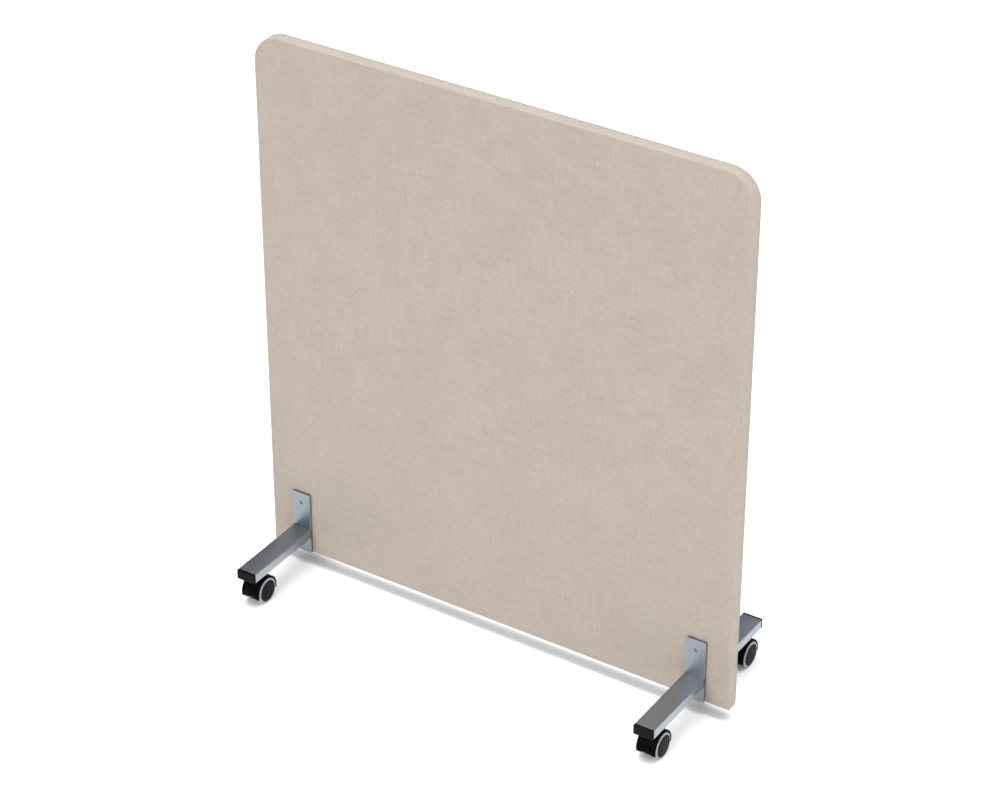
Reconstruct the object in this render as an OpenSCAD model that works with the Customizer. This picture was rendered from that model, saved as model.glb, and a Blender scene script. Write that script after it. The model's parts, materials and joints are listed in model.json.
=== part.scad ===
// Mobile partition wall: a fabric-covered panel on two T-feet, each foot made of two
// arms bolted through the panel, with a hooded twin-wheel caster under every arm's end.
// Origin on the floor under the middle of the panel, +X along the panel, -Y to the front,
// +Z up. Millimetres.

/* [Panel] */
// Width of the panel
panel_w = 1500; // [900:10:2000]
// Height of the whole wall above the floor
wall_h = 1650; // [1200:10:2200]
// Thickness of the covered panel
panel_t = 36; // [32:1:60]
// Gap between the floor and the panel's lower edge
floor_gap = 41; // [38:1:48]
// Radius of the two upper corners
corner_r = 82; // [65:1:150]
// Thickness of the woven cover
cover_t = 1.2; // [0.8:0.1:2]
// Thickness of each facing board
board_t = 3; // [2:0.5:6]
// Width of the wooden frame's members, seen from the front
frame_w = 60; // [40:1:62]
// Distance from the panel's rear face to the seam of the cover
seam_inset = 5; // [3:1:8]
// Width of the hook-and-loop strip that closes the cover below
closing_w = 23; // [10:1:25]

/* [Feet] */
// Distance from the panel's side edge to the middle of a foot
foot_inset = 104; // [95:1:200]
// Length of a whole foot, from end cap to end cap
foot_l = 596; // [500:2:800]
// Width of the foot's tube
tube_w = 60; // [50:1:70]
// Height of the foot's tube
tube_h = 30; // [26:1:34]
// Wall of the foot's tube
tube_wall = 2; // [1.5:0.5:3]
// Outer corner radius of the tube
tube_r = 3; // [2:0.5:4]
// Height of the tube's underside above the floor
tube_z = 93; // [92:0.5:96]
// Height of the mounting plate
plate_h = 198; // [180:1:240]
// Thickness of the mounting plate
plate_t = 8; // [5:1:10]
// Thickness of the end cap's visible flange
cap_t = 8; // [5:1:12]
// Depth of the end cap's plug inside the tube
cap_plug = 16; // [10:1:18]

/* [Bolts] */
// Height of the lower bolts above the panel's lower edge
bolt_low = 26; // [22:1:34]
// Height of the upper bolts above the panel's lower edge
bolt_high = 165; // [150:1:190]
// Diameter of the through bolts
bolt_d = 8; // [6:1:8]
// Diameter of the bolts' and sleeve nuts' countersunk heads
head_d = 14; // [13:0.5:16]

/* [Casters] */
// Diameter of the wheels
wheel_d = 75; // [73:1:76]
// Width over both hub discs
caster_w = 66; // [62:1:72]
// Distance from the end of the foot to the swivel's axis
stem_inset = 40; // [36:1:60]
// Distance from the swivel's axis to the wheels' axle
trail = 20; // [16:1:24]
// Diameter of the swivel's stem
stem_d = 10; // [8:1:10]
// Diameter of the axle
axle_d = 8; // [6:1:8]
// Thickness of the tread
tread_t = 6.5; // [4:0.5:8]

/* [Hidden] */
$fn = 96;
eps = 0.01;
run_fit = 0.05;      // radial clearance of a shaft that turns in its bore

// Panel
panel_h = wall_h - floor_gap;
core_t = panel_t - 2 * (cover_t + board_t);
core_w = panel_w - 2 * cover_t;
core_z = floor_gap + cover_t;
core_top = wall_h - cover_t;
corner_block = corner_r - cover_t;
rail_mid_z = floor_gap + panel_h / 2 - frame_w / 2;
seam_y = panel_t / 2 - seam_inset;
closing_y = seam_y - closing_w;
infill_gap = 0.5;    // clearance of the acoustic pads in the frame
foot_block_w = 100;
foot_block_top = floor_gap + plate_h + 22;

// Feet
foot_x = panel_w / 2 - foot_inset;
plate_y = panel_t / 2 + plate_t;
cap_y = foot_l / 2 - cap_t;
plate_r = 2.5;
plug_gap = 0.3;      // clearance of the end cap's plug in the tube
plug_wall = 2;
bolt_hole_r = bolt_d / 2 + 0.5;
sleeve_r = bolt_d / 2 + 1.2;
sleeve_hole_r = sleeve_r + 0.3;
sleeve_l = 32;
sink_gap = 0.1;      // clearance of a head in its countersink
socket_af = 5;
socket_depth = 3;

// Casters, in the caster's own frame: origin on the floor under the stem,
// wheels towards +Y, axle along X
wheel_r = wheel_d / 2;
hub_r = wheel_r - tread_t;
dome_t = 3;          // how far the hub disc stands out beyond the tread
tread_out = caster_w / 2 - dome_t;
tread_in = 8.5;      // inner side of a wheel, clear of the stem's socket
hub_cup_r = hub_r - 3;
hub_web_t = 5;
hub_boss_r = 9;
hub_in = 6;          // inner end of a wheel's bore
bore_end = tread_out - 1.5;
hood_gap = 2.5;      // clearance between the tread and the hood
hood_t = 4.5;
hood_in_r = wheel_r + hood_gap;
hood_out_r = hood_in_r + hood_t;
hood_half = tread_out - 1;
hood_edge_r = 2;
hood_drop = 10;      // how far the hood's lower edge is below the axle
hood_arch = 5;       // rise of the arch cut in the hood's closed side
hood_arch_half = 22;
web_half = 5.5;
socket_r = tread_in - 0.5;
socket_bottom = 31;
stem_bottom = 34.5;
collar_h = 4.5;
collar_af = 19;
neck_r = 12;
neck_top = tube_z - collar_h - 0.3;
clip_z = 40;
clip_h = 1.6;
nut_h = 8;
nut_af = 17;

// The four corners: name, side along X, side along Y
CORNERS = [
    ["front_left", -1, -1],
    ["front_right", 1, -1],
    ["rear_left", -1, 1],
    ["rear_right", 1, 1]
];
PANEL_NODES = [
    "cover_front", "cover_back", "closing_strip", "facing_board_front", "facing_board_back",
    "frame_stile_left", "frame_stile_right", "frame_rail_top", "frame_rail_middle",
    "frame_rail_bottom", "frame_corner_left", "frame_corner_right",
    "foot_block_left", "foot_block_right", "acoustic_pad_upper", "acoustic_pad_lower",
    "foot_bolts", "foot_sleeve_nuts", "caster_nuts", "caster_stems", "stem_clips"
];
CORNER_PARTS = [
    "plate", "tube", "end_cap", "hood", "axle",
    "outboard_wheel", "outboard_tread", "inboard_wheel", "inboard_tread"
];

// ---------- shared shapes ----------

// Rectangle with four round corners, centred
module rounded_rect(w, h, r) {
    square([w, h - 2 * r], center = true);
    square([w - 2 * r, h], center = true);
    for (sx = [-1, 1], sy = [-1, 1])
        translate([sx * (w / 2 - r), sy * (h / 2 - r)]) circle(r);
}

// The panel's outline, drawn in from its edge: square below, round above
module panel_outline(inset) {
    r = corner_r - inset;
    w = panel_w - 2 * inset;
    h = panel_h - 2 * inset;
    translate([-w / 2, floor_gap + inset]) square([w, h - r]);
    translate([-w / 2 + r, floor_gap + inset]) square([w - 2 * r, h]);
    for (s = [-1, 1])
        translate([s * (w / 2 - r), floor_gap + inset + h - r]) circle(r);
}

// An outline in X and Z, made solid from y to y + depth
module upright(y, depth) {
    translate([0, y + depth, 0]) rotate([90, 0, 0]) linear_extrude(depth) children();
}

// A box given by its lowest corner in X and Z, filling the core's thickness
module core_box(x, z, w, h) {
    translate([x, -core_t / 2, z]) cube([w, core_t, h]);
}

// The bolts' places, with the child's +Z turned towards +Y
module at_bolts(y) {
    for (s = [-1, 1], z = [bolt_low, bolt_high])
        translate([s * foot_x, y, floor_gap + z]) rotate([-90, 0, 0]) children();
}

module bolt_holes(r) {
    at_bolts(-plate_y - 1) cylinder(h = 2 * plate_y + 2, r = r);
}

// Children drawn for the front arm, put at one corner of the wall
module at_corner(c) {
    translate([c[1] * foot_x, 0, 0]) mirror([0, c[2] > 0 ? 1 : 0, 0]) children();
}

// Children drawn in the caster's own frame, put at one corner
module at_caster(c) {
    at_corner(c) translate([0, -foot_l / 2 + stem_inset, 0]) children();
}

// The wheels' axle as a local frame, with the child's +Z along X
module at_axle(x) {
    translate([x, trail, wheel_r]) rotate([0, 90, 0]) children();
}

// ---------- panel ----------

// Front of the sewn cover, a tray that wraps the edges as far as the seam
module cover_front() {
    color([0.78, 0.74, 0.69]) difference() {
        upright(-panel_t / 2, panel_t - seam_inset) panel_outline(0);
        upright(-panel_t / 2 + cover_t, panel_t) panel_outline(cover_t);
        translate([-panel_w / 2 - 1, closing_y, floor_gap - 1])
            cube([panel_w + 2, panel_t, cover_t + 1]);
        bolt_holes(sleeve_hole_r);
    }
}

// Back of the sewn cover, a shallow tray from the seam on
module cover_back() {
    color([0.78, 0.74, 0.69]) difference() {
        upright(seam_y, seam_inset) panel_outline(0);
        upright(seam_y - 1, seam_inset + 1 - cover_t) panel_outline(cover_t);
        bolt_holes(sleeve_hole_r);
    }
}

module closing_strip() {
    color([0.2, 0.2, 0.2])
        translate([-panel_w / 2 + cover_t, closing_y, floor_gap])
            cube([panel_w - 2 * cover_t, closing_w, cover_t]);
}

module facing_board(y) {
    color([0.62, 0.5, 0.36]) difference() {
        upright(y, board_t) panel_outline(cover_t);
        bolt_holes(sleeve_hole_r);
    }
}

module facing_board_front() {
    facing_board(-core_t / 2 - board_t);
}

module facing_board_back() {
    facing_board(core_t / 2);
}

module frame_stile(side) {
    x = side < 0 ? -core_w / 2 : core_w / 2 - frame_w;
    color([0.8, 0.66, 0.46]) core_box(x, core_z, frame_w, core_top - corner_block - core_z);
}

module frame_stile_left() {
    frame_stile(-1);
}

module frame_stile_right() {
    frame_stile(1);
}

module frame_rail_top() {
    color([0.8, 0.66, 0.46])
        core_box(-core_w / 2 + corner_block, core_top - frame_w,
            core_w - 2 * corner_block, frame_w);
}

module frame_rail_middle() {
    color([0.8, 0.66, 0.46])
        core_box(-core_w / 2 + frame_w, rail_mid_z, core_w - 2 * frame_w, frame_w);
}

module frame_rail_bottom() {
    color([0.8, 0.66, 0.46]) difference() {
        core_box(-core_w / 2 + frame_w, core_z, core_w - 2 * frame_w, frame_w);
        bolt_holes(sleeve_hole_r);
    }
}

// Quarter-round block that carries the cover round an upper corner
module frame_corner(side) {
    color([0.8, 0.66, 0.46]) intersection() {
        translate([side * (core_w / 2 - corner_block), core_t / 2, core_top - corner_block])
            rotate([90, 0, 0]) cylinder(h = core_t, r = corner_block);
        core_box(side < 0 ? -core_w / 2 : core_w / 2 - corner_block,
            core_top - corner_block, corner_block, corner_block);
    }
}

module frame_corner_left() {
    frame_corner(-1);
}

module frame_corner_right() {
    frame_corner(1);
}

// Solid block beside the stile, for the foot's upper bolt
module foot_block(side) {
    x = side < 0 ? -core_w / 2 + frame_w : core_w / 2 - frame_w - foot_block_w;
    z = core_z + frame_w;
    color([0.74, 0.6, 0.4]) difference() {
        core_box(x, z, foot_block_w, foot_block_top - z);
        bolt_holes(sleeve_hole_r);
    }
}

module foot_block_left() {
    foot_block(-1);
}

module foot_block_right() {
    foot_block(1);
}

module acoustic_pad_upper() {
    z = rail_mid_z + frame_w + infill_gap;
    h = core_top - corner_block - infill_gap - z;
    neck = core_w - 2 * corner_block - 2 * infill_gap;
    color([0.5, 0.5, 0.48]) {
        core_box(-core_w / 2 + frame_w + infill_gap, z,
            core_w - 2 * frame_w - 2 * infill_gap, h);
        core_box(-neck / 2, z, neck, core_top - frame_w - infill_gap - z);
    }
}

module acoustic_pad_lower() {
    z = core_z + frame_w + infill_gap;
    w = core_w - 2 * frame_w - 2 * infill_gap;
    notch_w = foot_block_w + infill_gap;
    color([0.5, 0.5, 0.48]) difference() {
        core_box(-w / 2, z, w, rail_mid_z - infill_gap - z);
        for (s = [-1, 1])
            translate([s * (w / 2 - notch_w / 2), 0, z + (foot_block_top - z) / 2])
                cube([notch_w + 1, core_t + 1, foot_block_top - z + 2 * infill_gap],
                    center = true);
    }
}

// ---------- fasteners ----------

// Radius of what passes through a plate: the bolt in front, the sleeve nut behind
function shaft_r(side) = side < 0 ? bolt_d / 2 : sleeve_r;

// Countersunk head whose flat face is at 0 and whose shaft runs along +Z
module sunk_head(side, gap = 0) {
    r = shaft_r(side);
    cylinder(h = head_d / 2 - r, r1 = head_d / 2 + gap, r2 = r + gap);
}

module hex_socket() {
    translate([0, 0, -1])
        cylinder(h = socket_depth + 1, d = socket_af / cos(30), $fn = 6);
}

// Through bolts, head in front, ending inside the sleeve nuts
module foot_bolts() {
    color([0.7, 0.71, 0.73]) at_bolts(-plate_y) difference() {
        union() {
            sunk_head(-1);
            cylinder(h = 2 * plate_y - 5, r = shaft_r(-1));
        }
        hex_socket();
    }
}

// Sleeve nuts, head behind, reaching through the rear plate into the panel
module foot_sleeve_nuts() {
    bore_l = sleeve_l - 4;
    color([0.7, 0.71, 0.73]) at_bolts(plate_y) mirror([0, 0, 1]) difference() {
        union() {
            sunk_head(1);
            cylinder(h = sleeve_l, r = shaft_r(1));
        }
        hex_socket();
        translate([0, 0, sleeve_l - bore_l])
            cylinder(h = bore_l + 1, r = bolt_d / 2 + run_fit);
    }
}

// Hexagon nuts welded inside the tubes over the stems
module caster_nuts() {
    color([0.7, 0.71, 0.72])
        for (c = CORNERS) at_caster(c) translate([0, 0, tube_z + tube_wall]) difference() {
            cylinder(h = nut_h, d = nut_af / cos(30), $fn = 6);
            translate([0, 0, -1]) cylinder(h = nut_h + 2, r = stem_d / 2 + run_fit);
        }
}

// Threaded stems with a hexagon collar under the tube and a groove for the clip
module caster_stems() {
    color([0.74, 0.75, 0.76]) for (c = CORNERS) at_caster(c) difference() {
        union() {
            translate([0, 0, stem_bottom])
                cylinder(h = tube_z + tube_wall + nut_h + 3 - stem_bottom, r = stem_d / 2);
            translate([0, 0, tube_z - collar_h])
                cylinder(h = collar_h, d = collar_af / cos(30), $fn = 6);
        }
        translate([0, 0, clip_z - 0.3]) difference() {
            cylinder(h = clip_h + 0.6, r = stem_d / 2 + 1);
            translate([0, 0, -1]) cylinder(h = clip_h + 3, r = stem_d / 2 - 0.8);
        }
    }
}

// Open spring rings that keep the hoods on the stems
module stem_clips() {
    color([0.6, 0.61, 0.62]) for (c = CORNERS) at_caster(c) translate([0, 0, clip_z])
        difference() {
            cylinder(h = clip_h, r = stem_d / 2 + 0.4);
            translate([0, 0, -1]) cylinder(h = clip_h + 2, r = stem_d / 2 - 0.7);
            translate([0, -1, -1]) cube([stem_d, 2, clip_h + 2]);
        }
}

// ---------- feet ----------

module plate(c) {
    color([0.72, 0.74, 0.76]) at_corner(c) difference() {
        upright(-plate_y, plate_t)
            translate([0, floor_gap + plate_h / 2]) rounded_rect(tube_w, plate_h, plate_r);
        for (z = [bolt_low, bolt_high])
            translate([0, -plate_y, floor_gap + z]) rotate([-90, 0, 0]) {
                translate([0, 0, -1])
                    cylinder(h = plate_t + 2, r = c[2] < 0 ? bolt_hole_r : sleeve_hole_r);
                sunk_head(c[2], sink_gap);
            }
    }
}

module tube(c) {
    inner_r = tube_r - tube_wall / 2;
    color([0.66, 0.68, 0.7]) at_corner(c) difference() {
        upright(-cap_y, cap_y - plate_y) translate([0, tube_z + tube_h / 2]) difference() {
            rounded_rect(tube_w, tube_h, tube_r);
            rounded_rect(tube_w - 2 * tube_wall, tube_h - 2 * tube_wall, inner_r);
        }
        translate([0, -foot_l / 2 + stem_inset, tube_z - 1])
            cylinder(h = tube_wall + 2, r = stem_d / 2 + 0.2);
    }
}

// Moulded cap: a flange with softened edges and a hollow plug
module end_cap(c) {
    soft = 1.6;
    plug_w = tube_w - 2 * (tube_wall + plug_gap);
    plug_h = tube_h - 2 * (tube_wall + plug_gap);
    color([0.1, 0.1, 0.11]) at_corner(c) translate([0, 0, tube_z + tube_h / 2]) {
        hull() {
            upright(-cap_y - cap_t + soft, cap_t - soft)
                rounded_rect(tube_w, tube_h, tube_r, $fn = 32);
            upright(-cap_y - cap_t, soft)
                rounded_rect(tube_w - 2 * soft, tube_h - 2 * soft, tube_r - 1, $fn = 32);
        }
        upright(-cap_y - eps, cap_plug) difference() {
            rounded_rect(plug_w, plug_h, 1.5);
            square([plug_w - 2 * plug_wall, plug_h - 2 * plug_wall], center = true);
        }
    }
}

// ---------- casters ----------

// Profile of the hood's shell: distance from the axle along X, place along it as Y
module hood_profile() {
    translate([(hood_in_r + hood_out_r) / 2, 0])
        rounded_rect(hood_t, 2 * hood_half, hood_edge_r);
    translate([hood_in_r, -hood_half])
        square([hood_t / 2, 2 * hood_half]);
}

// Everything of the hood above its lower edge
module hood_above_edge() {
    translate([-caster_w, -caster_w, wheel_r - hood_drop])
        cube([2 * caster_w, 3 * caster_w, 2 * hood_out_r]);
}

// Shell over both wheels, the web between them and the socket for the stem
module hood(c) {
    arch_r = (hood_arch_half ^ 2 + hood_arch ^ 2) / (2 * hood_arch);
    color([0.09, 0.09, 0.1]) at_caster(c) difference() {
        union() {
            intersection() {
                at_axle(0) rotate_extrude() hood_profile();
                hood_above_edge();
            }
            intersection() {
                at_axle(-web_half) cylinder(h = 2 * web_half, r = hood_in_r + 1);
                hood_above_edge();
            }
            at_axle(-web_half) cylinder(h = 2 * web_half, r = hub_boss_r + 2);
            translate([0, 0, socket_bottom])
                cylinder(h = neck_top - socket_bottom, r = socket_r);
            difference() {
                translate([0, 0, wheel_r + hub_r]) cylinder(h = neck_top - wheel_r - hub_r, r = neck_r);
                at_axle(-caster_w) cylinder(h = 2 * caster_w, r = hood_in_r);
            }
        }
        // arch in the closed side
        translate([0, -hood_out_r, wheel_r - hood_drop + hood_arch - arch_r])
            rotate([-90, 0, 0]) cylinder(h = hood_out_r, r = arch_r);
        // socket and the groove that the clip springs into
        translate([0, 0, stem_bottom - 0.5])
            cylinder(h = neck_top, r = stem_d / 2 + run_fit);
        translate([0, 0, clip_z - 0.4]) cylinder(h = clip_h + 0.8, r = stem_d / 2 + 0.6);
        // seat of the axle
        at_axle(-web_half - 1) cylinder(h = 2 * web_half + 2, r = axle_d / 2);
    }
}

module axle(c) {
    color([0.74, 0.75, 0.76]) at_caster(c)
        at_axle(-bore_end + 0.5) cylinder(h = 2 * bore_end - 1, r = axle_d / 2);
}

// One wheel, drawn on the +X side: a cup round a bored boss, closed by a domed disc
module wheel(c, side) {
    dome_r = (hub_r ^ 2 + dome_t ^ 2) / (2 * dome_t);
    color([0.12, 0.12, 0.13]) at_caster(c) mirror([side < 0 ? 1 : 0, 0, 0]) difference() {
        union() {
            at_axle(tread_in) cylinder(h = tread_out - tread_in, r = hub_r);
            at_axle(hub_in) cylinder(h = tread_out - hub_in - 1, r = hub_boss_r);
            intersection() {
                at_axle(tread_out + dome_t - dome_r) sphere(dome_r, $fn = 200);
                at_axle(tread_out - 1) cylinder(h = dome_t + 2, r = hub_r);
            }
        }
        at_axle(tread_in - 1) difference() {
            cylinder(h = tread_out - hub_web_t - tread_in + 1, r = hub_cup_r);
            translate([0, 0, -1]) cylinder(h = caster_w, r = hub_boss_r);
        }
        at_axle(hub_in - 1) cylinder(h = bore_end - hub_in + 1, r = axle_d / 2 + run_fit);
    }
}

// Ring of softer material with rounded shoulders, moulded round the wheel
module tread(c, side) {
    shoulder = 2;
    w = tread_out - tread_in;
    color([0.6, 0.6, 0.62]) at_caster(c) mirror([side < 0 ? 1 : 0, 0, 0])
        at_axle(tread_in) rotate_extrude() {
            translate([hub_r, 0]) square([tread_t - shoulder, w]);
            translate([hub_r + tread_t / 2, w / 2]) rounded_rect(tread_t, w, shoulder);
        }
}

cover_front();
cover_back();
closing_strip();
facing_board_front();
facing_board_back();
frame_stile_left();
frame_stile_right();
frame_rail_top();
frame_rail_middle();
frame_rail_bottom();
frame_corner_left();
frame_corner_right();
foot_block_left();
foot_block_right();
acoustic_pad_upper();
acoustic_pad_lower();
foot_bolts();
foot_sleeve_nuts();
caster_nuts();
caster_stems();
stem_clips();
for (c = CORNERS) {
    plate(c);
    tube(c);
    end_cap(c);
    hood(c);
    axle(c);
    wheel(c, c[1]);
    tread(c, c[1]);
    wheel(c, -c[1]);
    tread(c, -c[1]);
}
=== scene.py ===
"""Looks of the mobile partition wall: woven cover, steel feet, caps and hooded casters."""

import json
import math

import bmesh
import bpy
import numpy as np
from mathutils import Matrix, Vector


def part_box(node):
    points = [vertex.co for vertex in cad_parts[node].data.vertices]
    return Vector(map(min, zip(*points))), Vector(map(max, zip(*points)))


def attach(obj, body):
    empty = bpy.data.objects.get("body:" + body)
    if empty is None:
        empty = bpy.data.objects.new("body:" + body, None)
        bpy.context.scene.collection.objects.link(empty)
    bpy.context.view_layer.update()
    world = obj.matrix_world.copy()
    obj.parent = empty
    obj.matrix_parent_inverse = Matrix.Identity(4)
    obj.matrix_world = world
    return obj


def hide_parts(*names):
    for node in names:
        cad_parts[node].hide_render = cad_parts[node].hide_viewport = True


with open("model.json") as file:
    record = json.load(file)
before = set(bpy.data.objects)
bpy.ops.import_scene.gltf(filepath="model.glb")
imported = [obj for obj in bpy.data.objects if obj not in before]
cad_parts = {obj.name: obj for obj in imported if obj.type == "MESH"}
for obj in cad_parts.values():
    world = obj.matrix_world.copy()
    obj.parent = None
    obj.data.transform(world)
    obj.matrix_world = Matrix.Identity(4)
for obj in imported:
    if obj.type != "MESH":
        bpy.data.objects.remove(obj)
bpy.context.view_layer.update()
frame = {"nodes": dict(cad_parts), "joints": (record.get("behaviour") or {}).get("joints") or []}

MM = 0.001
CORNERS = ("front_left", "front_right", "rear_left", "rear_right")
WHEELS = ("outboard", "inboard")


# ---------- node helpers ----------

def feed(tree, value, socket):
    """Link an output to an input, or set the input's own number or colour."""
    if hasattr(value, "is_output"):
        tree.links.new(value, socket)
    elif isinstance(value, tuple):
        socket.default_value = (*value, 1.0)
    else:
        socket.default_value = value


class Nodes:
    """A new material's node tree, with short calls to add and join its nodes."""

    def __init__(self, name):
        self.material = bpy.data.materials.new(name)
        self.material.use_nodes = True
        self.tree = self.material.node_tree
        self.shader = self.tree.nodes["Principled BSDF"]

    def add(self, kind, **values):
        node = self.tree.nodes.new(kind)
        for key, value in values.items():
            setattr(node, key, value)
        return node

    def link(self, source, target):
        self.tree.links.new(source, target)

    def place(self, kind, scale, offset=(0, 0, 0)):
        """A stretched copy of the UV or Object coordinates, as a vector."""
        coord = self.add("ShaderNodeTexCoord")
        mapping = self.add("ShaderNodeMapping")
        mapping.inputs["Scale"].default_value = scale
        mapping.inputs["Location"].default_value = offset
        self.link(coord.outputs[kind], mapping.inputs["Vector"])
        return mapping.outputs["Vector"]

    def noise(self, vector, detail=2.0, rough=0.5):
        node = self.add("ShaderNodeTexNoise")
        node.inputs["Scale"].default_value = 1.0
        node.inputs["Detail"].default_value = detail
        node.inputs["Roughness"].default_value = rough
        self.link(vector, node.inputs["Vector"])
        return node.outputs["Fac"]

    def math(self, operation, a, b=0.0):
        node = self.add("ShaderNodeMath", operation=operation)
        feed(self.tree, a, node.inputs[0])
        feed(self.tree, b, node.inputs[1])
        return node.outputs[0]

    def span(self, value, low, high, out_low=0.0, out_high=1.0):
        node = self.add("ShaderNodeMapRange")
        self.link(value, node.inputs["Value"])
        for key, number in (("From Min", low), ("From Max", high),
                            ("To Min", out_low), ("To Max", out_high)):
            node.inputs[key].default_value = number
        return node.outputs["Result"]

    def mix(self, factor, a, b):
        node = self.add("ShaderNodeMix", data_type="RGBA")
        colours = [s for s in node.inputs if s.type == "RGBA"]
        feed(self.tree, factor, node.inputs["Factor"])
        feed(self.tree, a, colours[0])
        feed(self.tree, b, colours[1])
        return next(s for s in node.outputs if s.type == "RGBA")

    def bump(self, height, depth, strength=1.0, after=None):
        node = self.add("ShaderNodeBump")
        node.inputs["Strength"].default_value = strength
        node.inputs["Distance"].default_value = depth
        self.link(height, node.inputs["Height"])
        if after is not None:
            self.link(after, node.inputs["Normal"])
        return node.outputs["Normal"]

    def finish(self, colour, roughness, normal=None, **constants):
        """Join the looks to the shader; an underscore stands for a space in a socket's name."""
        inputs = self.shader.inputs
        feed(self.tree, colour, inputs["Base Color"])
        feed(self.tree, roughness, inputs["Roughness"])
        if normal is not None:
            feed(self.tree, normal, inputs["Normal"])
        for key, value in constants.items():
            inputs[key.replace("_", " ")].default_value = value
        return self.material


# ---------- materials ----------

def fabric_material():
    """Beige melange plain weave. The UVs are metres along the cloth."""
    n = Nodes("woven_beige")
    pitch = 1.5 * MM
    per_metre = 1.0 / pitch
    weft = n.noise(n.place("UV", (60.0, per_metre, 1.0)), detail=2.0)
    warp = n.noise(n.place("UV", (per_metre, 60.0, 1.0), (7.0, 3.0, 5.0)), detail=2.0)
    slub = n.noise(n.place("UV", (11.0, 230.0, 1.0), (1.0, 9.0, 2.0)), detail=3.0)
    slub_up = n.noise(n.place("UV", (230.0, 11.0, 1.0), (4.0, 2.0, 8.0)), detail=3.0)
    cloud = n.noise(n.place("UV", (6.0, 6.0, 1.0), (2.0, 6.0, 1.0)), detail=4.0, rough=0.6)
    weave = n.add("ShaderNodeTexChecker")
    weave.inputs["Scale"].default_value = 1.0
    n.link(n.place("UV", (per_metre, per_metre, 1.0)), weave.inputs["Vector"])
    over = weave.outputs["Fac"]
    # each crossing shows its upper yarn, and each yarn is spun from lighter and darker fibre
    yarn = n.mix(over, n.span(weft, 0.3, 0.7), n.span(warp, 0.3, 0.7))
    colour = n.mix(yarn, (0.307, 0.272, 0.235), (0.416, 0.357, 0.297))
    tone = n.math("ADD", n.math("MULTIPLY", slub, 0.26), n.math("MULTIPLY", slub_up, 0.20))
    tone = n.math("ADD", tone, n.math("MULTIPLY", cloud, 0.12))
    shade = n.add("ShaderNodeVectorMath", operation="SCALE")
    n.link(colour, shade.inputs[0])
    n.link(n.math("ADD", tone, 0.71), shade.inputs["Scale"])
    # round yarns, crossing over and under, and thicker where they are slubbed
    u_wave = n.math("SINE", n.math("MULTIPLY", axis_of(n, "X"), math.pi * per_metre))
    v_wave = n.math("SINE", n.math("MULTIPLY", axis_of(n, "Y"), math.pi * per_metre))
    round_u = n.math("ABSOLUTE", u_wave)
    round_v = n.math("ABSOLUTE", v_wave)
    height = n.mix(over, round_v, round_u)
    normal = n.bump(height, 0.3 * MM, 0.5)
    normal = n.bump(tone, 1.2 * MM, 0.35, normal)
    return n.finish(shade.outputs[0], 0.92, normal, Sheen_Weight=0.15, Sheen_Roughness=0.5,
                    Specular_IOR_Level=0.15)


def axis_of(n, axis):
    """One component of the cloth's UV coordinates."""
    coord = n.add("ShaderNodeTexCoord")
    split = n.add("ShaderNodeSeparateXYZ")
    n.link(coord.outputs["UV"], split.inputs[0])
    return split.outputs[axis]


def silver_material(name, along, tone):
    """Satin silver coat on steel, whose drawing marks run along one axis."""
    n = Nodes(name)
    stretch = tuple(14.0 if axis == along else 900.0 for axis in range(3))
    drawn = n.noise(n.place("Object", stretch), detail=3.0)
    cloud = n.noise(n.place("Object", (18.0, 18.0, 18.0)), detail=3.0)
    grain = n.noise(n.place("Object", (2500.0, 2500.0, 2500.0)), detail=1.0)
    dark = tuple(tone * c for c in (0.275, 0.30, 0.335))
    light = tuple(tone * c for c in (0.315, 0.345, 0.385))
    colour = n.mix(n.span(drawn, 0.3, 0.7), dark, light)
    roughness = n.math("ADD", n.span(cloud, 0.3, 0.7, 0.27, 0.35),
                       n.span(drawn, 0.3, 0.7, 0.0, 0.05))
    normal = n.bump(drawn, 0.02 * MM, 0.35)
    normal = n.bump(grain, 0.01 * MM, 0.25, normal)
    return n.finish(colour, roughness, normal, Metallic=1.0)


def zinc_material(name="zinc", colour_a=(0.50, 0.51, 0.53), colour_b=(0.62, 0.62, 0.62)):
    """Zinc-plated steel with faint crystals."""
    n = Nodes(name)
    crystal = n.noise(n.place("Object", (700.0, 700.0, 700.0)), detail=4.0)
    cloud = n.noise(n.place("Object", (90.0, 90.0, 90.0)), detail=2.0)
    colour = n.mix(n.span(cloud, 0.3, 0.7), colour_a, colour_b)
    return n.finish(colour, n.span(crystal, 0.3, 0.7, 0.25, 0.4),
                    n.bump(crystal, 0.02 * MM, 0.3), Metallic=1.0)


def plastic_material(name, colour, rough_low, rough_high, shine=0.06):
    """Black moulding with a fine spark-eroded grain."""
    n = Nodes(name)
    fine = n.noise(n.place("Object", (1400.0, 1400.0, 1400.0)), detail=2.0)
    cloud = n.noise(n.place("Object", (60.0, 60.0, 60.0)), detail=3.0)
    lighter = tuple(c * 1.5 + 0.001 for c in colour)
    return n.finish(n.mix(n.span(cloud, 0.35, 0.7), colour, lighter),
                    n.span(cloud, 0.3, 0.7, rough_low, rough_high),
                    n.bump(fine, 0.04 * MM, 0.5), Specular_IOR_Level=shine)


def tread_material():
    """Soft grey tread, matt, with a little dust in its skin."""
    n = Nodes("grey_tread")
    fine = n.noise(n.place("Object", (1100.0, 1100.0, 1100.0)), detail=2.0)
    dust = n.noise(n.place("Object", (70.0, 70.0, 70.0)), detail=4.0)
    return n.finish(n.mix(n.span(dust, 0.35, 0.7), (0.26, 0.268, 0.285), (0.35, 0.356, 0.37)),
                    n.span(dust, 0.3, 0.7, 0.6, 0.8), n.bump(fine, 0.05 * MM, 0.5))


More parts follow.
